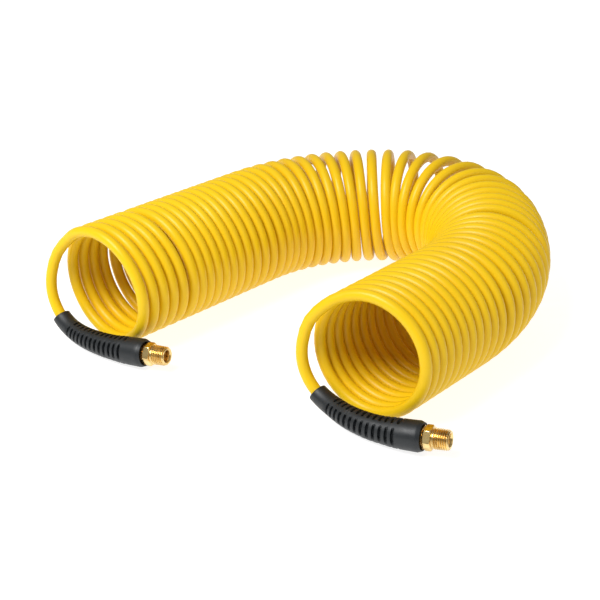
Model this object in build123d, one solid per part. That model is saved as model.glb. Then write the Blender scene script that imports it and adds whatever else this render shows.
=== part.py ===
from build123d import *
import os
from math import cos, pi, radians, sin, tan

# Recoil air hose: one polyurethane hose wound in a helical coil that lies on its side and folds back on
# itself in a U. Each end of the hose leaves the coil as a short tail, goes into a rubber bend restrictor
# and ends in a brass swivel fitting. Millimetres, +Z up, origin on the floor under the middle of the
# whole hose. The coil is held as solids of its outer shape; the hose itself is one piece all the way.

# hose and coil
HOSE_OD = 8.0
HOSE_BORE = 5.0
COIL_OD = 90.0
COIL_R = COIL_OD / 2
HALF_TURN = 4.05        # axial room of half a turn when the turns lie against each other
LOOSE_HALF_TURNS = 12   # half turns at each end that open when that end is pulled
SLICE_GAP = 0.1         # room between two neighbouring half-turn slices

# where the coil's axis runs on the floor plan: a straight arm, three arcs to the right, a straight arm
ARM_START = (-141.0, -18.5)
ARM_HEADING = 46.2
INLET_ARM = 147.5
BEND_ARCS = [(143.5, 50.0), (70.0, 82.3), (167.5, 45.4)]   # radius, angle in degrees
OUTLET_ARM = 90.0

# bend restrictor: a tapered rubber sleeve over the hose, with a collar at its mouth
SLEEVE_LENGTH = 85.0
SLEEVE_TIP_R = 6.2
SLEEVE_COLLAR_R = 10.0
SLEEVE_COLLAR = 24.0
SLEEVE_BORE_R = HOSE_OD / 2 + 0.1
SLEEVE_STATIONS = 6
MOUTH_RECESS_R = 8.3
MOUTH_RECESS = 1.6

# fitting, measured along its own axis from the sleeve's mouth
HOSE_END = -2.0
FERRULE = (-14.0, -2.0)
FERRULE_R = 5.6
BARB = (-13.0, -1.3)
BARB_SHANK_R = 2.4
BARB_TIP_R = 2.7
BARB_COUNT = 3
STEM_BORE_R = 1.6
FLANGE = (-1.3, 0.5)
FLANGE_FLATS = 13.5
NOSE_R = 3.92
NOSE_END = 12.0
SEAL_GROOVE = (8.5, 10.3)
SEAL_GROOVE_R = 2.9
SEAL_R = 0.5
SNAP_GROOVE = (3.4, 4.6)
SNAP_GROOVE_STEM_R = 3.3
SNAP_GROOVE_NUT_R = 4.6
SNAP_WIRE_R = 0.5
SNAP_RING_R = 3.95
SNAP_RING_ARC = 320.0
NUT_HEX = (1.3, 6.3)
NUT_FLATS = 14.3
NUT_BORE_R = 4.0
THREAD_R = 13.716 / 2    # 1/4-18 NPT, over the crests
THREAD_END = 17.2
TIP_CHAMFER = 1.2
TIP_BORE_R = 4.5

# the tails, from the coil to the sleeve's mouth, seen by someone facing that open end of the coil:
# distance to the right of the coil's axis, distance out of the coil's end, height
TAILS = {
    "inlet": [(-27.5, 4.6, 75.5), (-39.5, 8.5, 62.0), (-43.3, 12.3, 45.5), (-42.8, 14.0, 31.0),
              (-37.2, 14.3, 19.3), (-27.2, 14.7, 11.2), (-12.5, 15.5, 8.3), (4.5, 15.7, 8.5),
              (28.0, 12.1, 9.5), (51.0, 5.2, 12.1)],
    "outlet": [(-27.5, 4.6, 75.5), (-39.5, 7.5, 62.0), (-43.3, 9.7, 45.5), (-43.0, 10.2, 31.0),
               (-37.6, 9.9, 19.0), (-28.2, 10.0, 11.2), (-13.0, 12.2, 8.4), (5.0, 16.2, 8.6),
               (30.5, 14.8, 9.5), (54.2, 7.4, 12.4)],
}

MID = (Align.CENTER, Align.CENTER, Align.MIN)


def rod(radius, span):
    """Cylinder on the fitting's axis between two stations."""
    return Pos(0, 0, span[0]) * Cylinder(radius, span[1] - span[0], align=MID)


def hexagon(flats, span):
    """Hexagonal block on the fitting's axis between two stations."""
    outline = RegularPolygon(flats / 2, 6, major_radius=False)
    return Pos(0, 0, span[0]) * extrude(outline, amount=span[1] - span[0])


def walk(point, heading, length, radius=None, angle=0.0):
    """Next point and heading of the coil's axis, after a straight or a right-hand arc."""
    x, y = point
    a = radians(heading)
    if radius is None:
        return (x + length * cos(a), y + length * sin(a)), heading
    b = radians(heading - angle)
    return (x + radius * (sin(a) - sin(b)), y + radius * (cos(b) - cos(a))), heading - angle


def coil_section(point, heading):
    """Ring-shaped section of the coil, square to its axis."""
    a = radians(heading)
    plane = Plane(origin=(*point, COIL_R), x_dir=(0, 0, 1), z_dir=(cos(a), sin(a), 0))
    return plane * (Circle(COIL_R) - Circle(COIL_R - HOSE_OD))


def straight_coil(point, heading, length):
    """Outer shape of a straight stretch of coil."""
    return extrude(coil_section(point, heading), amount=length)


def bent_coil(point, heading):
    """Outer shape of the coil's bend, one torus piece for each arc."""
    pieces = []
    for radius, angle in BEND_ARCS:
        a = radians(heading)
        centre = (point[0] + radius * sin(a), point[1] - radius * cos(a), 0)
        pieces.append(revolve(coil_section(point, heading), Axis(centre, (0, 0, -1)), angle))
        point, heading = walk(point, heading, 0, radius, angle)
    return pieces[0] + pieces[1] + pieces[2], point, heading


class End:
    """One end of the hose: the frame in which its tail and fitting are placed."""

    def __init__(self, name, point, outward):
        self.name = name
        a = radians(outward)
        self.out = Vector(cos(a), sin(a), 0)
        self.right = Vector(-sin(a), cos(a), 0)
        self.foot = Vector(*point, 0)
        self.route = [self.place(*p) for p in TAILS[name]]
        self.mouth = self.route[-1]
        self.aim = (self.route[-1] - self.route[-2]).normalized()
        self.fitting = Plane(origin=self.mouth, z_dir=self.aim)

    def place(self, right, out, up):
        return self.foot + self.right * right + self.out * out + Vector(0, 0, up)

    def path(self, last):
        """Centreline of the tail: straight runs joined by tangent arcs."""
        points = self.route[:-1] + [last]
        radii = []
        for before, here, after in zip(points, points[1:], points[2:]):
            turn = (here - before).get_angle(after - here)
            shorter = min((here - before).length, (after - here).length)
            radii.append(0.45 * shorter / tan(radians(turn / 2)))
        print(self.name, "tail radii", [round(r, 1) for r in radii])
        return FilletPolyline(*points, radius=radii)


def hose_tail(end):
    """The stretch of hose between the coil and the fitting."""
    path = end.path(end.mouth + end.aim * HOSE_END)
    start = Plane(origin=path @ 0, z_dir=path % 0)
    tail = sweep(start * (Circle(HOSE_OD / 2) - Circle(HOSE_BORE / 2)), path)
    area = pi * (HOSE_OD ** 2 - HOSE_BORE ** 2) / 4
    print(end.name, "tail length", round(path.length, 1), "volume ratio", round(tail.volume / area / path.length, 4))
    return tail


def bend_restrictor(end):
    """Tapered sleeve along the hose, with a straight collar that covers the crimp."""
    path = end.path(end.mouth)
    first = path.length - SLEEVE_LENGTH
    taper = SLEEVE_LENGTH - SLEEVE_COLLAR
    sections = []
    for i in range(SLEEVE_STATIONS):
        f = i / (SLEEVE_STATIONS - 1)
        at = (first + f * taper) / path.length
        radius = SLEEVE_TIP_R + f * (SLEEVE_COLLAR_R - 0.6 - SLEEVE_TIP_R)
        sections.append(Plane(origin=path @ at, z_dir=path % at) * Circle(radius))
    at = 1 - 12.0 / path.length
    sections.append(Plane(origin=path @ at, z_dir=path % at) * Circle(SLEEVE_COLLAR_R))
    sections.append(end.fitting * Circle(SLEEVE_COLLAR_R))
    sleeve = loft(sections)
    start = Plane(origin=path @ 0, z_dir=path % 0)
    sleeve -= sweep(start * Circle(SLEEVE_BORE_R), path)
    sleeve -= end.fitting * rod(FERRULE_R + 0.05, (FERRULE[0] - 0.5, 1))
    return sleeve - end.fitting * rod(MOUTH_RECESS_R, (-MOUTH_RECESS, 1))


def crimp_ferrule(end):
    """Brass ferrule crimped on the hose over the barbs."""
    return end.fitting * (rod(FERRULE_R, FERRULE) - rod(HOSE_OD / 2 + 0.02, FERRULE))


def barbed_stem(end):
    """Stem pressed into the hose; its nose is the journal that the nipple turns on."""
    stem = rod(BARB_SHANK_R, BARB) + hexagon(FLANGE_FLATS, FLANGE) + rod(NOSE_R, (FLANGE[1], NOSE_END))
    length = (BARB[1] - BARB[0]) / (BARB_COUNT + 1)
    for i in range(BARB_COUNT):
        stem += Pos(0, 0, BARB[0] + i * length) * Cone(BARB_SHANK_R, BARB_TIP_R, length * 0.8, align=MID)
    stem -= rod(NOSE_R + 1, SEAL_GROOVE) - rod(SEAL_GROOVE_R, SEAL_GROOVE)
    stem -= rod(NOSE_R + 1, SNAP_GROOVE) - rod(SNAP_GROOVE_STEM_R, SNAP_GROOVE)
    return end.fitting * (stem - rod(STEM_BORE_R, (BARB[0] - 1, NOSE_END + 1)))


def swivel_nipple(end):
    """Hexagon and male pipe thread that turn freely on the stem."""
    nipple = hexagon(NUT_FLATS, NUT_HEX) + rod(THREAD_R, (NUT_HEX[1], THREAD_END - TIP_CHAMFER))
    tip_start = THREAD_END - TIP_CHAMFER
    nipple += Pos(0, 0, tip_start) * Cone(THREAD_R, THREAD_R - TIP_CHAMFER, TIP_CHAMFER, align=MID)
    nipple -= rod(NUT_BORE_R, (NUT_HEX[0] - 1, THREAD_END + 1))
    nipple -= rod(SNAP_GROOVE_NUT_R, SNAP_GROOVE)
    nipple -= Pos(0, 0, THREAD_END - 1) * Cone(NUT_BORE_R, TIP_BORE_R, 1.001, align=MID)
    return end.fitting * nipple


def seal_ring(end):
    """O-ring in the stem's groove."""
    middle = sum(SEAL_GROOVE) / 2
    return end.fitting * Pos(0, 0, middle) * Torus(SEAL_GROOVE_R + SEAL_R + 0.02, SEAL_R)


def retaining_ring(end):
    """Open wire ring, half in the stem's groove and half in the nipple's."""
    middle = sum(SNAP_GROOVE) / 2
    wire = revolve(Plane.XZ * Pos(SNAP_RING_R, 0) * Circle(SNAP_WIRE_R), Axis.Z, SNAP_RING_ARC)
    return end.fitting * Pos(0, 0, middle) * wire


def save(name, shape):
    """Write one node as a STEP file."""
    shape.label = name
    export_step(shape, f"parts/{name}.step")
    return shape


os.makedirs("parts", exist_ok=True)
loose = LOOSE_HALF_TURNS * HALF_TURN

bend_start, _ = walk(ARM_START, ARM_HEADING, INLET_ARM)
bend, bend_end, heading = bent_coil(bend_start, ARM_HEADING)
outlet_start, _ = walk(bend_end, heading, OUTLET_ARM)
ends = [End("inlet", ARM_START, ARM_HEADING + 180), End("outlet", outlet_start, heading)]

model = [save("hose_coil_bend", bend)]
inlet_fixed, _ = walk(ARM_START, ARM_HEADING, loose)
model.append(save("hose_coil_inlet_arm", straight_coil(inlet_fixed, ARM_HEADING, INLET_ARM - loose)))
model.append(save("hose_coil_outlet_arm", straight_coil(bend_end, heading, OUTLET_ARM - loose)))

for end, origin, inward in ((ends[0], ARM_START, ARM_HEADING), (ends[1], outlet_start, heading + 180)):
    for i in range(LOOSE_HALF_TURNS):
        point, _ = walk(origin, inward, i * HALF_TURN + SLICE_GAP / 2)
        piece = straight_coil(point, inward, HALF_TURN - SLICE_GAP)
        model.append(save(f"{end.name}_half_turn_{i + 1:02d}", piece))
    model.append(save(f"hose_tail_{end.name}", hose_tail(end)))
    model.append(save(f"{end.name}_bend_restrictor", bend_restrictor(end)))
    model.append(save(f"{end.name}_crimp_ferrule", crimp_ferrule(end)))
    model.append(save(f"{end.name}_barbed_stem", barbed_stem(end)))
    model.append(save(f"{end.name}_swivel_nipple", swivel_nipple(end)))
    model.append(save(f"{end.name}_seal_ring", seal_ring(end)))
    model.append(save(f"{end.name}_retaining_ring", retaining_ring(end)))
    print(end.name, "foot", end.foot, "right", end.right, "out", end.out, "mouth", end.mouth, "aim", end.aim)

box = Compound(model).bounding_box()
print("box", box.min, box.max, "centre", box.center())
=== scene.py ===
import bpy
from math import cos, pi, radians, sin
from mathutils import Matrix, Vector


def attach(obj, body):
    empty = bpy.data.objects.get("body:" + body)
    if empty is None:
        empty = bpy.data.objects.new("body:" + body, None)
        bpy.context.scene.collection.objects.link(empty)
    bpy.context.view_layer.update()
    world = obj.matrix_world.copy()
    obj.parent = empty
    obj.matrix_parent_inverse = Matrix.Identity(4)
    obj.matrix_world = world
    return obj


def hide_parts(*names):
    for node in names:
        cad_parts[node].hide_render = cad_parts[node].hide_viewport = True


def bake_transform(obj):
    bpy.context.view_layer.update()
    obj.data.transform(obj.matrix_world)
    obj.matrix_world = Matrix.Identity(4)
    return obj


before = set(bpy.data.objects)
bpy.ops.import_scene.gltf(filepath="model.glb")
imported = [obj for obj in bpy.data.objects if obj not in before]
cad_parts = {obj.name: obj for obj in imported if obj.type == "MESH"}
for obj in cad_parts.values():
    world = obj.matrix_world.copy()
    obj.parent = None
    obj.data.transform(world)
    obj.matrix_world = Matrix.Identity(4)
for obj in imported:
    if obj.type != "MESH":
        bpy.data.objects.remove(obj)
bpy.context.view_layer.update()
MM = 0.001

# ---------------------------------------------------------------- sizes shared with part.py, in millimetres
HOSE_R = 4.0
COIL_AXIS_Z = 45.0
TURN_R = COIL_AXIS_Z - HOSE_R
LOOSE_HALF_TURNS = 12    # half turns at each end that open when that end is pulled
ARM_START = (-141.0, -18.5)
ARM_HEADING = 46.2
INLET_ARM = 147.5
BEND_ARCS = [(143.5, 50.0), (70.0, 82.3), (167.5, 45.4)]   # radius, angle in degrees
OUTLET_ARM = 90.0
SLEEVE_LENGTH = 85.0

# each tail from the coil to the sleeve's mouth, the same points as in part.py: distance to the right of the
# coil's axis, distance out of the coil's end, height
TAILS = {
    "inlet": [(-27.5, 4.6, 75.5), (-39.5, 8.5, 62.0), (-43.3, 12.3, 45.5), (-42.8, 14.0, 31.0),
              (-37.2, 14.3, 19.3), (-27.2, 14.7, 11.2), (-12.5, 15.5, 8.3), (4.5, 15.7, 8.5),
              (28.0, 12.1, 9.5), (51.0, 5.2, 12.1)],
    "outlet": [(-27.5, 4.6, 75.5), (-39.5, 7.5, 62.0), (-43.3, 9.7, 45.5), (-43.0, 10.2, 31.0),
               (-37.6, 9.9, 19.0), (-28.2, 10.0, 11.2), (-13.0, 12.2, 8.4), (5.0, 16.2, 8.6),
               (30.5, 14.8, 9.5), (54.2, 7.4, 12.4)],
}

# ---------------------------------------------------------------- how the turns lie
TURNS = 57
STEPS = 24               # points of the hose's line in one turn
TOUCHING = 8.05          # room along the axis of a turn that lies against its neighbours
SMOOTH = 42.0            # the bend's curve is averaged this far to each side
NESTED = 0.85            # how much of the bend's fanning out the turns follow
EXTRA_GAP = {1: 1.2, 2: 0.9, 3: 0.6, 4: 0.3, 5: 3.2, 40: 6.0}   # turns with more room than the rest
LEAN = (-0.045, -0.09, -0.04)     # radians that a turn leans along the axis, at the inlet, half way, outlet
YAW = (-0.064, -0.137, 0.126)     # radians that a turn is twisted on the floor plan, at the same places
MOUTH_YAW = 0.09         # further twist of the turns by the inlet's mouth
MOUTH_REACH = (45.0, 100.0)       # where along the axis that twist begins to fade and where it ends
FIRST_TOP = -0.8         # top of the first turn, measured from the inlet's open end
LAST_TOP = 3.9           # top of the last turn, measured back from the outlet's open end
LEAD = 2                 # steps that the coil goes on past those tops, to where each tail's route begins
LEAD_OUT = {"inlet": 0.27, "outlet": 0.52}   # mm outward, times the square of the step's number


# ---------------------------------------------------------------- the coil's axis
def axis_at(s):
    """Point and heading of the coil's axis at a distance from the inlet's open end."""
    x, y = ARM_START
    a = radians(ARM_HEADING)
    step = min(s, INLET_ARM)
    x, y, s = x + step * cos(a), y + step * sin(a), s - step
    for radius, angle in BEND_ARCS:
        step = min(max(s, 0.0), radius * radians(angle))
        b = a - step / radius
        x, y = x + radius * (sin(a) - sin(b)), y + radius * (cos(b) - cos(a))
        a, s = b, s - step
    s = max(s, 0.0)
    return Vector((x + s * cos(a), y + s * sin(a), 0)), a


BEND = sum(radius * radians(angle) for radius, angle in BEND_ARCS)
AXIS_LENGTH = INLET_ARM + BEND + OUTLET_ARM


def three_way(values, f):
    """A value that runs through three, at 0, 1/2 and 1, in two straight stretches."""
    a, b, c = values
    return a + (b - a) * 2 * f if f < 0.5 else b + (c - b) * (2 * f - 1)


def turn_point(s, theta):
    """Centre of the hose at an angle round the coil: 0 is the left of travel, a quarter turn is the top."""
    foot, a = axis_at(s)
    f = s / AXIS_LENGTH
    yaw = a + three_way(YAW, f)
    near, far = MOUTH_REACH
    yaw += MOUTH_YAW * min(max((far - s) / (far - near), 0.0), 1.0)
    lean = three_way(LEAN, f)
    left = Vector((-sin(yaw), cos(yaw), 0))
    up = Vector((cos(yaw) * sin(lean), sin(yaw) * sin(lean), cos(lean)))
    # a B-spline whose control points are on a circle runs a little inside it
    radius = TURN_R / (0.75 + 0.25 * cos(2 * pi / STEPS))
    return foot + Vector((0, 0, COIL_AXIS_Z)) + radius * (left * cos(theta) + up * sin(theta))


def pitch(s):
    """Axial room of one turn: round the bend the turns fan out, and press into each other on its inside."""
    curve = (axis_at(max(s - SMOOTH, 0))[1] - axis_at(min(s + SMOOTH, AXIS_LENGTH))[1]) / (2 * SMOOTH)
    return TOUCHING / (1 - TURN_R * curve * NESTED)


ROUNDS = 6               # corrections of the spacing, each much smaller than the one before
UNSCALED = 10.0          # about what the extra gaps take up, which the spacing doesn't change


def coil_stations(scale):
    """Distance along the axis for each point of the coil, from the top of the first turn to the last."""
    s = FIRST_TOP
    stations = [s]
    for i in range(TURNS * STEPS):
        extra = EXTRA_GAP.get(i // STEPS + 1, 0.0)
        s += (pitch(s) * scale + extra) / STEPS
        stations.append(s)
    return stations


def fitted_stations():
    """Those distances, with the spacing scaled until the last turn's top comes to its place."""
    scale = 1.0
    for _ in range(ROUNDS):
        reach = coil_stations(scale)[-1]
        scale *= 1 + (AXIS_LENGTH - LAST_TOP - reach) / (reach - UNSCALED)
    return coil_stations(scale)


class End:
    """Frame of one open end of the coil, in millimetres."""

    def __init__(self, name, point, outward):
        self.name = name
        self.out = Vector((cos(outward), sin(outward), 0))
        self.right = Vector((-sin(outward), cos(outward), 0))
        self.foot = Vector((point[0], point[1], 0))
        self.route = [self.place(*p) for p in TAILS[name]]
        self.mouth = self.route[-1]
        self.aim = (self.route[-1] - self.route[-2]).normalized()

    def place(self, right, out, up):
        return self.foot + self.right * right + self.out * out + Vector((0, 0, up))


outlet_foot, outlet_heading = axis_at(AXIS_LENGTH)
INLET = End("inlet", ARM_START, radians(ARM_HEADING) + pi)
OUTLET = End("outlet", outlet_foot, outlet_heading)

# ---------------------------------------------------------------- the hose's one line
def angle_at(i):
    """Angle round the coil after a number of steps from the top of the first turn."""
    return pi / 2 + 2 * pi * i / STEPS


def hose_route():
    """Control points of the whole hose: the inlet's tail, the coil's turns and the outlet's tail."""
    stations = fitted_stations()
    coil = [turn_point(s, angle_at(i)) for i, s in enumerate(stations)]
    last = len(stations) - 1
    before, after = [], []
    for n in range(1, LEAD + 1):
        s = stations[0] - pitch(0) * n / STEPS - LEAD_OUT["inlet"] * n ** 2
        before.insert(0, turn_point(s, angle_at(-n)))
        s = stations[last] + pitch(AXIS_LENGTH) * n / STEPS + LEAD_OUT["outlet"] * n ** 2
        after.append(turn_point(s, angle_at(last + n)))
    return INLET.route[::-1] + before + coil + after + OUTLET.route


FINE = 12                # points of the line for each control point


def nurbs_line(points):
    """Points along the smooth NURBS spline of a route, as Blender evaluates it."""
    data = bpy.data.curves.new("line", "CURVE")
    data.dimensions = "3D"
    spline = data.splines.new("NURBS")
    spline.points.add(len(points) - 1)
    for knot, p in zip(spline.points, points):
        knot.co = (*(p * MM), 1)
    spline.order_u = 3
    spline.use_endpoint_u = True
    spline.resolution_u = FINE
    obj = bpy.data.objects.new("line", data)
    bpy.context.scene.collection.objects.link(obj)
    mesh = bpy.data.meshes.new_from_object(obj)
    line = [v.co.copy() for v in mesh.vertices]
    bpy.data.objects.remove(obj)
    return line


line = nurbs_line(hose_route())


# ---------------------------------------------------------------- where the hose is cut into pieces
def frames_along(points, first_side):
    """Tangent and side vector for each point, carried along without twist."""
    tangents = []
    for i in range(len(points)):
        a = points[max(i - 1, 0)]
        b = points[min(i + 1, len(points) - 1)]
        tangents.append((b - a).normalized())
    side = (first_side - first_side.dot(tangents[0]) * tangents[0]).normalized()
    out = []
    for t in tangents:
        side = (side - side.dot(t) * t).normalized()
        out.append((t, side.copy()))
    return out


def seams(end, start, step):
    """Indices where the hose passes the coil's left or right side, one for each loose half turn."""
    found = []
    before = None
    i = start
    while len(found) < LOOSE_HALF_TURNS:
        here = (line[i] / MM - end.foot).dot(end.right)
        ahead = (line[i + step] / MM - end.foot).dot(end.right)
        rising = ahead > here
        if before is not None and rising != before:
            found.append(i)
        before = rising
        i += step
    return found


def closest(target, low, high):
    """Index of the line's point nearest to a place."""
    return min(range(low, high), key=lambda i: (line[i] - target).length)


TAIL_SEAM = 2            # the point of a tail's route where the first half turn ends
TAIL_REACH = 30 * FINE   # that seam is looked for no further than this from the hose's end
QUARTER_TURN = STEPS * FINE // 4
inlet_tail = closest(INLET.route[TAIL_SEAM] * MM, 0, TAIL_REACH)
outlet_tail = closest(OUTLET.route[TAIL_SEAM] * MM, len(line) - TAIL_REACH, len(line))
inlet_seams = seams(INLET, inlet_tail + QUARTER_TURN, 1)
outlet_seams = seams(OUTLET, outlet_tail - QUARTER_TURN, -1)
frames = frames_along(line, Vector((0, 0, 1)))


def link(name, verts, faces, smooth=True):
    mesh = bpy.data.meshes.new(name)
    mesh.from_pydata([tuple(v) for v in verts], [], faces)
    mesh.update()
    if smooth:
        mesh.polygons.foreach_set("use_smooth", [True] * len(mesh.polygons))
    obj = bpy.data.objects.new(name, mesh)
    bpy.context.scene.collection.objects.link(obj)
    return obj


def tube_rings(low, high, skip):
    """Indices of a tube's rings, the last of them at its very end."""
    rings = list(range(low, high, skip))
    if high - rings[-1] <= skip / 2:
        rings.pop()
    return rings + [high]


def distances(points):
    """How far along a line each of its points is."""
    travel = [0.0]
    for a, b in zip(points, points[1:]):
        travel.append(travel[-1] + (b - a).length)
    return travel


def map_along(obj, around, travel):
    """A UV layer for the materials: once round across, and the distance along upward."""
    uv = obj.data.uv_layers.new(name="along")
    for poly in obj.data.polygons:
        closes = max(v % around for v in poly.vertices) == around - 1
        for loop, vertex in zip(poly.loop_indices, poly.vertices):
            j, k = divmod(vertex, around)
            u = 1.0 if k == 0 and closes else k / around
            uv.data[loop].uv = (u, travel[j])


def flatten_caps(obj):
    """Makes the ends flat with sharp rims, so that no line shows where neighbouring pieces meet."""
    caps = obj.data.polygons[-2:]
    for cap in caps:
        cap.use_smooth = False
    rims = {tuple(sorted(key)) for cap in caps for key in cap.edge_keys}
    for edge in obj.data.edges:
        edge.use_edge_sharp = tuple(sorted(edge.vertices)) in rims


TUBE_SIDES = 20
UV_OFFSET = 0.0001       # keeps the pieces' patterns apart, per point of the line


def tube(name, low, high, skip):
    """A stretch of the hose as a closed mesh tube, and the points that it follows."""
    rings = tube_rings(low, high, skip)
    verts, faces = [], []
    for i in rings:
        t, side = frames[i]
        other = t.cross(side)
        for k in range(TUBE_SIDES):
            a = 2 * pi * k / TUBE_SIDES
            verts.append(line[i] + HOSE_R * MM * (side * cos(a) + other * sin(a)))
    for j in range(len(rings) - 1):
        here, ahead = j * TUBE_SIDES, (j + 1) * TUBE_SIDES
        for k in range(TUBE_SIDES):
            m = (k + 1) % TUBE_SIDES
            faces.append((here + k, here + m, ahead + m, ahead + k))
    last = (len(rings) - 1) * TUBE_SIDES
    faces.append(tuple(range(TUBE_SIDES))[::-1])
    faces.append(tuple(last + k for k in range(TUBE_SIDES)))
    obj = link(name, verts, faces)
    path = [line[i].copy() for i in rings]
    map_along(obj, TUBE_SIDES, [low * UV_OFFSET + d for d in distances(path)])
    flatten_caps(obj)
    return obj, path


COIL_SKIP = 6            # points of the line from one ring of a tube to the next
TAIL_SKIP = 2
TAIL_SIDE = -42.0        # where a tail comes down, to the left of the coil's axis as one faces its mouth
SWING_LOW = 24.0         # height where the tail has come over to the swinging sleeve
FIRST_REACH = 27.0       # distance from the coil's axis where the first half turn begins to open
hose_pieces = []
tails = {}


def declare(obj):
    """Says that a piece is a stretch of the one hose."""
    hose_pieces.append(obj)


def closed_coil():
    """The turns that stay closed: both arms and the bend."""
    piece, path = tube("hose_coil", inlet_seams[-1], outlet_seams[-1], COIL_SKIP)
    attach(piece, "hose")
    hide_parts("hose_coil_bend", "hose_coil_inlet_arm", "hose_coil_outlet_arm")
    declare(piece)


def loose_half_turn(end, n, ends):
    """A half turn near an end, made as its own piece; n is 1 at the mouth."""
    low, high = sorted(ends)
    piece, path = tube(f"{end.name}_hose_half_turn_{n:02d}", low, high, COIL_SKIP)
    outer_side = -1 if n % 2 else 1
    edge = TURN_R - HOSE_R
    reach = FIRST_REACH if n == 1 else edge
    start = end.place(outer_side * reach, 0, COIL_AXIS_Z)
    stop = end.place(-outer_side * edge, 0, COIL_AXIS_Z)
    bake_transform(piece)
    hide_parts(f"{end.name}_half_turn_{n:02d}")
    declare(piece)


def hose_tail(end, seam, mouth):
    """The tail, from the seam where the first half turn ends to the hose's end at the mouth."""
    low, high = sorted((seam, mouth))
    piece, path = tube(f"{end.name}_hose_tail", low, high, TAIL_SKIP)
    start = end.place(TAIL_SIDE, 0, line[seam].z / MM)
    stop = end.place(TAIL_SIDE, 0, SWING_LOW)
    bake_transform(piece)
    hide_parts(f"hose_tail_{end.name}")
    tails[end.name] = path
    declare(piece)


closed_coil()
for end, tail_seam, cuts, mouth in ((INLET, inlet_tail, inlet_seams, 0),
                                    (OUTLET, outlet_tail, outlet_seams, len(line) - 1)):
    edges = [tail_seam] + cuts
    for n in range(1, LOOSE_HALF_TURNS + 1):
        loose_half_turn(end, n, edges[n - 1:n + 1])
    hose_tail(end, tail_seam, mouth)


# ---------------------------------------------------------------- materials
def material(name, color, roughness, metallic=0.0):
    mat = bpy.data.materials.new(name)
    mat.use_nodes = True
    shader = mat.node_tree.nodes["Principled BSDF"]
    shader.inputs["Base Color"].default_value = (*color, 1)
    shader.inputs["Roughness"].default_value = roughness
    shader.inputs["Metallic"].default_value = metallic
    return mat, mat.node_tree, shader


def add(tree, kind, **values):
    node = tree.nodes.new(kind)
    for key, value in values.items():
        if key in node.inputs:
            node.inputs[key].default_value = value
        else:
            setattr(node, key, value)
    return node


def noise(tree, vector, scale, detail=3.0, rough=0.55):
    node = add(tree, "ShaderNodeTexNoise", Scale=scale, Detail=detail, Roughness=rough)
    tree.links.new(vector, node.inputs["Vector"])
    return node.outputs["Fac"]


def ramp(tree, value, low, high, start=0.3, stop=0.7):
    """A value's range turned into another, for roughness and the like."""
    node = add(tree, "ShaderNodeMapRange")
    tree.links.new(value, node.inputs["Value"])
    node.inputs["From Min"].default_value = start
    node.inputs["From Max"].default_value = stop
    node.inputs["To Min"].default_value = low
    node.inputs["To Max"].default_value = high
    return node.outputs["Result"]


def blend_colors(tree, factor, first, second):
    node = tree.nodes.new("ShaderNodeMix")
    node.data_type = "RGBA"
    node.inputs[6].default_value = (*first, 1)
    node.inputs[7].default_value = (*second, 1)
    tree.links.new(factor, node.inputs[0])
    return node.outputs[2]


def stretch(tree, vector, scale):
    node = tree.nodes.new("ShaderNodeMapping")
    node.inputs["Scale"].default_value = scale
    tree.links.new(vector, node.inputs["Vector"])
    return node.outputs["Vector"]


def bump(tree, shader, heights):
    """Stacks bumps of (height, distance in metres, strength) on a shader."""
    normal = None
    for height, distance, strength in heights:
        node = add(tree, "ShaderNodeBump", Strength=strength, Distance=distance)
        tree.links.new(height, node.inputs["Height"])
        if normal:
            tree.links.new(normal, node.inputs["Normal"])
        normal = node.outputs["Normal"]
    tree.links.new(normal, shader.inputs["Normal"])


def hose_material():
    mat, tree, shader = material("yellow_polyurethane", (0.85, 0.55, 0.008), 0.32)
    coord = tree.nodes.new("ShaderNodeTexCoord")
    place, along = coord.outputs["Object"], coord.outputs["UV"]
    cloudy = noise(tree, place, 9.0, 2.0)
    clouds = ramp(tree, cloudy, 0.0, 1.0, 0.35, 0.65)
    color = blend_colors(tree, clouds, (0.85, 0.555, 0.008), (0.81, 0.510, 0.007))
    tree.links.new(color, shader.inputs["Base Color"])
    die_lines = noise(tree, stretch(tree, along, (46.0, 6.0, 1.0)), 1.0, 2.0)
    scuffs = noise(tree, place, 140.0, 5.0, 0.7)
    tree.links.new(ramp(tree, scuffs, 0.30, 0.44, 0.35, 0.75), shader.inputs["Roughness"])
    fine = noise(tree, place, 900.0, 2.0)
    bump(tree, shader, [(die_lines, 0.0001, 0.3), (fine, 0.00002, 0.3)])
    shader.inputs["IOR"].default_value = 1.32
    return mat


def rubber_material(name, color, worn, rough):
    mat, tree, shader = material(name, color, rough)
    coord = tree.nodes.new("ShaderNodeTexCoord")
    place = coord.outputs["Object"]
    edge = tree.nodes.new("ShaderNodeNewGeometry").outputs["Pointiness"]
    patchy = noise(tree, place, 120.0, 4.0, 0.65)
    mask = add(tree, "ShaderNodeMath", operation="MULTIPLY")
    tree.links.new(ramp(tree, edge, 0.0, 1.0, 0.52, 0.60), mask.inputs[0])
    tree.links.new(ramp(tree, patchy, 0.2, 1.0, 0.35, 0.7), mask.inputs[1])
    tree.links.new(blend_colors(tree, mask.outputs[0], color, worn), shader.inputs["Base Color"])
    tree.links.new(ramp(tree, patchy, rough - 0.08, rough + 0.1, 0.3, 0.7), shader.inputs["Roughness"])
    grain = noise(tree, place, 1600.0, 3.0)
    flow = noise(tree, place, 260.0, 2.0)
    bump(tree, shader, [(flow, 0.0001, 0.15), (grain, 0.00006, 0.35)])
    shader.inputs["IOR"].default_value = 1.5
    return mat


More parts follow.
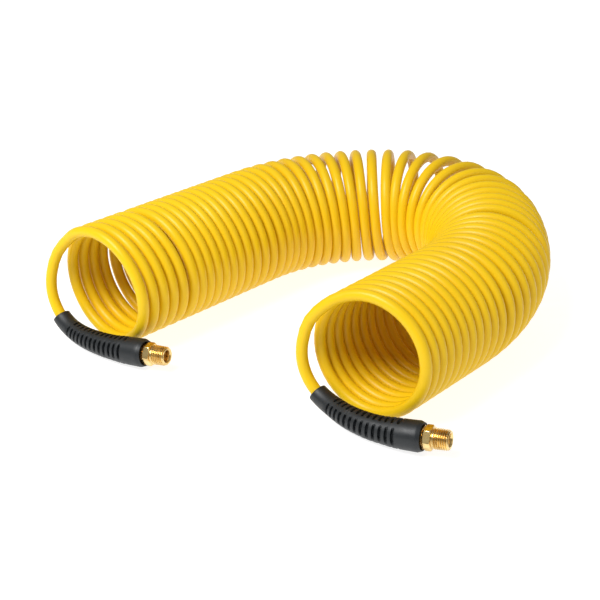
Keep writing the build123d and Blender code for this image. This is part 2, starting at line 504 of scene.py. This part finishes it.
def metal_material(name, color, tarnish_and_painted_shade_color, rough, turned_marks=True):
    mat, tree, shader = material(name, color, rough, 1.0)
    coord = tree.nodes.new("ShaderNodeTexCoord")
    place, along = coord.outputs["Object"], coord.outputs["UV"]
    # the darker colour goes on in patches of real tarnish, and as painted shade in hollows such as the
    # thread's roots
    tarnish = noise(tree, place, 180.0, 4.0, 0.6)
    edge = tree.nodes.new("ShaderNodeNewGeometry").outputs["Pointiness"]
    untarnished_and_no_painted_shade = add(tree, "ShaderNodeMath", operation="MULTIPLY")
    tree.links.new(ramp(tree, tarnish, 1.0, 0.0, 0.4, 0.75), untarnished_and_no_painted_shade.inputs[0])
    tree.links.new(ramp(tree, edge, 0.0, 1.0, 0.40, 0.50), untarnished_and_no_painted_shade.inputs[1])
    tree.links.new(blend_colors(tree, untarnished_and_no_painted_shade.outputs[0], tarnish_and_painted_shade_color, color), shader.inputs["Base Color"])
    tree.links.new(ramp(tree, tarnish, rough, rough + 0.14, 0.35, 0.75), shader.inputs["Roughness"])
    scratches = noise(tree, place, 1100.0, 2.0)
    heights = [(scratches, 0.00002, 0.2)]
    if turned_marks:
        heights.append((noise(tree, stretch(tree, along, (2.0, 9000.0, 1.0)), 1.0, 1.0), 0.00002, 0.35))
    bump(tree, shader, heights)
    return mat


def floor_material():
    mat, tree, shader = material("studio_white", (0.4, 0.4, 0.4), 0.75)
    coord = tree.nodes.new("ShaderNodeTexCoord")
    soft = noise(tree, coord.outputs["Object"], 3.0, 2.0)
    tree.links.new(ramp(tree, soft, 0.72, 0.8), shader.inputs["Roughness"])
    shader.inputs["Emission Color"].default_value = (1, 1, 1, 1)
    shader.inputs["Emission Strength"].default_value = 0.84
    return mat


HOSE = hose_material()
RUBBER = rubber_material("black_rubber", (0.0075, 0.010, 0.012), (0.035, 0.038, 0.042), 0.45)
SEAL = rubber_material("seal_rubber", (0.008, 0.008, 0.008), (0.02, 0.02, 0.02), 0.4)
# each metal's second colour is its tarnish and also the painted shade in its hollows
BRASS = metal_material("polished_brass", (0.93, 0.70, 0.31), (0.40, 0.23, 0.06), 0.2)
FERRULE = metal_material("ferrule_brass", (0.80, 0.57, 0.25), (0.5, 0.32, 0.12), 0.3)
WIRE = metal_material("spring_wire", (0.55, 0.55, 0.55), (0.4, 0.4, 0.4), 0.28, turned_marks=False)
for piece in hose_pieces:
    piece.data.materials.append(HOSE)
for end in (INLET, OUTLET):
    for part, mat in (("crimp_ferrule", FERRULE), ("barbed_stem", BRASS), ("seal_ring", SEAL),
                      ("retaining_ring", WIRE)):
        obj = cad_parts[f"{end.name}_{part}"]
        obj.data.materials.clear()
        obj.data.materials.append(mat)


# ---------------------------------------------------------------- skins of revolution
AROUND = 96


def skin(name, rows, place, mat):
    """A closed mesh from rings: each row is (station, radius as a function of the angle)."""
    verts, faces = [], []
    for station, radius in rows:
        centre, side, other = place(station)
        for k in range(AROUND):
            a = 2 * pi * k / AROUND
            verts.append((centre + radius(a) * (side * cos(a) + other * sin(a))) * MM)
    for j in range(len(rows)):
        here = j * AROUND
        ahead = (j + 1) % len(rows) * AROUND
        for k in range(AROUND):
            m = (k + 1) % AROUND
            faces.append((here + k, here + m, ahead + m, ahead + k))
    obj = link(name, verts, faces)
    map_along(obj, AROUND, [station * MM for station, radius in rows])
    obj.data.materials.append(mat)
    return obj


def flat(value):
    return lambda angle: value


def round_rows(*pairs):
    """Rows of plain round rings from (station, radius)."""
    return [(station, flat(radius)) for station, radius in pairs]


def limited(value, low, high):
    return min(max(value, low), high)


# ---------------------------------------------------------------- the sleeve, from its small end in part.py
SLEEVE_START = -1.0                # here it reaches a little further up the hose
SLEEVE_PROFILE = [(SLEEVE_START, 6.5), (12.0, 6.8), (58.0, 8.9), (66.0, 9.6), (82.4, 10.0),
                  (SLEEVE_LENGTH, 9.0)]   # station, radius
SLEEVE_BORE_R = 4.15
SMALL_END_R = (5.9, 6.35)          # its small end's edge, which is slightly rounded
POCKET_START = 70.5                # the crimp's pocket inside the collar
POCKET_R = 5.7
RECESS_START = 83.4                # the shallow recess at the mouth
RECESS_R = 8.3
SLEEVE_RINGS = (-0.5, 1.0, 4.0, 8.0, 12.0, 60.0, 62.0, 64.0, 66.0, 70.0, 75.0, 80.0, 82.2, 82.7, 83.6,
                84.7, SLEEVE_LENGTH)
BORE_RINGS = (50.0, 35.0, 20.0, 10.0)
SLOTS = 13
SLOT_FIRST = 16.3
SLOT_PITCH = 4.3
SLOT_HALF = 1.15
SLOT_REACH = radians(34)
SLOT_DEPTH = 2.6
SLOT_STEEP = 3.0                   # how steep a slot's walls are
SLOT_RINGS = (0.0, 0.4, 0.7, 0.86, 0.98, 1.08)   # rings each side of a slot's middle, in slot half widths
SLOT_TURN = {"inlet": 0.28, "outlet": 0.2}       # radians that the rows are turned round the hose


def sleeve_radius(s):
    for (a, ra), (b, rb) in zip(SLEEVE_PROFILE, SLEEVE_PROFILE[1:]):
        if s <= b:
            return ra + (rb - ra) * (s - a) / (b - a)
    return SLEEVE_PROFILE[-1][1]


def slot_depth(s, angle):
    """How deep the sleeve is cut at a place: four rows of slots, two of them half a pitch along."""
    quarter = round(angle / (pi / 2))
    off = abs(angle - quarter * pi / 2) / SLOT_REACH
    if off >= 1:
        return 0.0
    first = SLOT_FIRST + 0.5 * SLOT_PITCH * (quarter % 2)
    n = round((s - first) / SLOT_PITCH)
    if n < 0 or n >= SLOTS:
        return 0.0
    across = abs(s - first - n * SLOT_PITCH) / SLOT_HALF
    inside = 1 - (off ** 4 + across ** 4)
    return SLOT_DEPTH * limited(inside * SLOT_STEEP, 0.0, 1.0)


def sleeve_stations():
    """Stations of the sleeve's outer rings, close together where a slot's walls are."""
    found = set(SLEEVE_RINGS)
    for shift in (0, 0.5 * SLOT_PITCH):
        for n in range(SLOTS):
            centre = SLOT_FIRST + shift + n * SLOT_PITCH
            for off in SLOT_RINGS:
                found.add(round(centre + off * SLOT_HALF, 3))
                found.add(round(centre - off * SLOT_HALF, 3))
    return sorted(found)


def sleeve_place(end, points):
    """A function from a station to the hose's centre there, the sleeve's front and its top."""
    travel = distances(points)
    first = travel[-1] - SLEEVE_LENGTH
    runs = [(b - a).normalized() for a, b in zip(points, points[1:])]

    def place(s):
        d = limited(first + s, 0.0, travel[-1])
        i = max(k for k in range(len(runs)) if travel[k] <= d)
        f = (d - travel[i]) / (travel[i + 1] - travel[i])
        start = (runs[max(i - 1, 0)] + runs[i]).normalized()
        stop = (runs[i] + runs[min(i + 1, len(runs) - 1)]).normalized()
        along = (start * (1 - f) + stop * f).normalized()
        up = (Vector((0, 0, 1)) - along * along.z).normalized()
        front = up.cross(along)
        if front.dot(end.out) < 0:
            front = -front
        return points[i].lerp(points[i + 1], f), front, up

    return place


def sleeve(end):
    """The tapered rubber sleeve, along the last stretch of the hose."""
    points = [p / MM for p in tails[end.name]]
    if (points[-1] - end.mouth).length > 1:
        points.reverse()
    turned = SLOT_TURN[end.name]
    edge, rim = SMALL_END_R
    rows = round_rows((SLEEVE_START, SLEEVE_BORE_R), (SLEEVE_START, edge), (SLEEVE_START + 0.15, rim))
    for s in sleeve_stations():
        rows.append((s, lambda a, s=s: sleeve_radius(s) - slot_depth(s, (a - turned) % (2 * pi))))
    rows += round_rows((SLEEVE_LENGTH, RECESS_R + 0.3), (SLEEVE_LENGTH - 0.2, RECESS_R + 0.05),
                       (RECESS_START, RECESS_R), (RECESS_START, POCKET_R), (POCKET_START, POCKET_R),
                       (POCKET_START, SLEEVE_BORE_R))
    rows += round_rows(*((s, SLEEVE_BORE_R) for s in BORE_RINGS))
    obj = skin(f"{end.name}_sleeve", rows, sleeve_place(end, points), RUBBER)
    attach(obj, f"{end.name}_end")
    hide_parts(f"{end.name}_bend_restrictor")


# ---------------------------------------------------------------- the nipple, from the sleeve's mouth
HEX = (1.3, 6.3)
HEX_FLATS = 14.3
HEX_CORNER = HEX_FLATS / 2 / cos(pi / 6)
HEX_FACE_R = 6.95                  # the round face at each end of the hexagon
CHAMFER = ((0.15, 7.35), (0.3, 7.65), (0.5, 7.95))   # distance from that face, radius at the corners
THREAD_START = 6.9
THREAD_R = 6.858
THREAD_PITCH = 25.4 / 18
THREAD_DEPTH = 1.15
THREAD_RINGS = 12                  # rings in one pitch
FLAT_ROOT = 0.12                   # the part of half a pitch that is flat at the root
RIDGE = 0.8                        # the part of half a pitch that a ridge rises over
RUN_OUT = 0.8                      # length over which the thread starts
TAPER = 1 / 32
RELIEF_R = 5.9                     # the plain neck between hexagon and thread
TIP = 17.2
TIP_R = 6.0
BORE_R = 4.0


def hex_radius(limit):
    """A hexagon cut off by a circle."""
    def radius(angle):
        corner = (angle + pi / 6) % (pi / 3) - pi / 6
        return min(HEX_FLATS / 2 / cos(corner), limit)
    return radius


def thread_radius(z):
    """The tapered thread, one ridge to a pitch, chamfered at the tip."""
    crest = THREAD_R - TAPER * (z - THREAD_START)
    tip = TIP_R + TIP - 0.15 - z
    run_out = limited((z - THREAD_START) / RUN_OUT, 0.0, 1.0)

    def radius(angle):
        phase = (z / THREAD_PITCH - angle / (2 * pi)) % 1.0
        ridge = limited((1 - abs(2 * phase - 1) - FLAT_ROOT) / RIDGE, 0.0, 1.0)
        return min(crest - THREAD_DEPTH + THREAD_DEPTH * ridge * run_out, tip)
    return radius


def hexagon_rows():
    low, high = HEX
    rows = round_rows((low, BORE_R), (low, HEX_FACE_R - 0.35), (low + 0.02, HEX_FACE_R))
    rows += [(low + z, hex_radius(r)) for z, r in CHAMFER]
    rows += [(low + z, hex_radius(HEX_CORNER)) for z in (0.75, 2.5, 4.25)]
    rows += [(high - z, hex_radius(r)) for z, r in reversed(CHAMFER)]
    return rows + round_rows((high, HEX_FACE_R - 0.05))


def thread_rows():
    rows = round_rows((HEX[1], RELIEF_R + 0.05), (HEX[1] + 0.1, RELIEF_R), (THREAD_START, RELIEF_R))
    z = THREAD_START
    while z < TIP - 0.02:
        rows.append((z, thread_radius(z)))
        z += THREAD_PITCH / THREAD_RINGS
    return rows


def nipple(end):
    """The brass nipple: hexagon, plain neck, tapered pipe thread and bore."""
    side = (Vector((0, 0, 1)) - end.aim * end.aim.z).normalized()
    other = end.aim.cross(side)
    bore = round_rows((TIP, TIP_R - 0.3), (TIP, BORE_R + 0.55), (TIP - 0.1, BORE_R + 0.45),
                      (TIP - 0.6, BORE_R), (TIP - 4, BORE_R), (8.0, BORE_R), (4.0, BORE_R))
    rows = hexagon_rows() + thread_rows() + bore
    obj = skin(f"{end.name}_threaded_nipple", rows, lambda z: (end.mouth + end.aim * z, side, other), BRASS)
    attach(obj, f"{end.name}_nipple")
    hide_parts(f"{end.name}_swivel_nipple")


for end in (INLET, OUTLET):
    sleeve(end)
    nipple(end)

# ---------------------------------------------------------------- camera, floor and light
FLOOR = 9.0              # metres from the middle to each side
corners = [(-FLOOR, -FLOOR, 0), (FLOOR, -FLOOR, 0), (FLOOR, FLOOR, 0), (-FLOOR, FLOOR, 0)]
floor = link("studio_floor", corners, [(0, 1, 2, 3)], smooth=False)
floor.data.materials.append(floor_material())

LOOKS_DOWN = 0.463       # radians
camera = bpy.data.cameras.new("camera")
camera.lens = 75.9
camera.sensor_width = 36.0
camera.shift_x = 0.0067
camera.shift_y = 0.0052
camera.clip_start = 0.01
cam = bpy.data.objects.new("camera", camera)
cam.location = (-0.0046, -0.8221, 0.4324)
cam.rotation_euler = (pi / 2 - LOOKS_DOWN, 0, 0)
bpy.context.scene.collection.objects.link(cam)
bpy.context.scene.camera = cam


def area_light(name, place, target, size, power):
    data = bpy.data.lights.new(name, "AREA")
    data.shape = "DISK"
    data.size = size
    data.energy = power
    obj = bpy.data.objects.new(name, data)
    obj.location = place
    aim = Vector(target) - Vector(place)
    obj.rotation_euler = aim.to_track_quat("-Z", "Y").to_euler()
    bpy.context.scene.collection.objects.link(obj)


area_light("key", (-0.9, -0.7, 1.5), (0, 0, 0), 0.9, 33)
area_light("fill", (1.2, -0.9, 0.9), (0, 0, 0), 1.0, 3)
world = bpy.data.worlds.new("studio")
world.use_nodes = True
world.node_tree.nodes["Background"].inputs["Color"].default_value = (1, 1, 1, 1)
world.node_tree.nodes["Background"].inputs["Strength"].default_value = 0.3
bpy.context.scene.world = world
bpy.context.scene.view_settings.view_transform = "Standard"
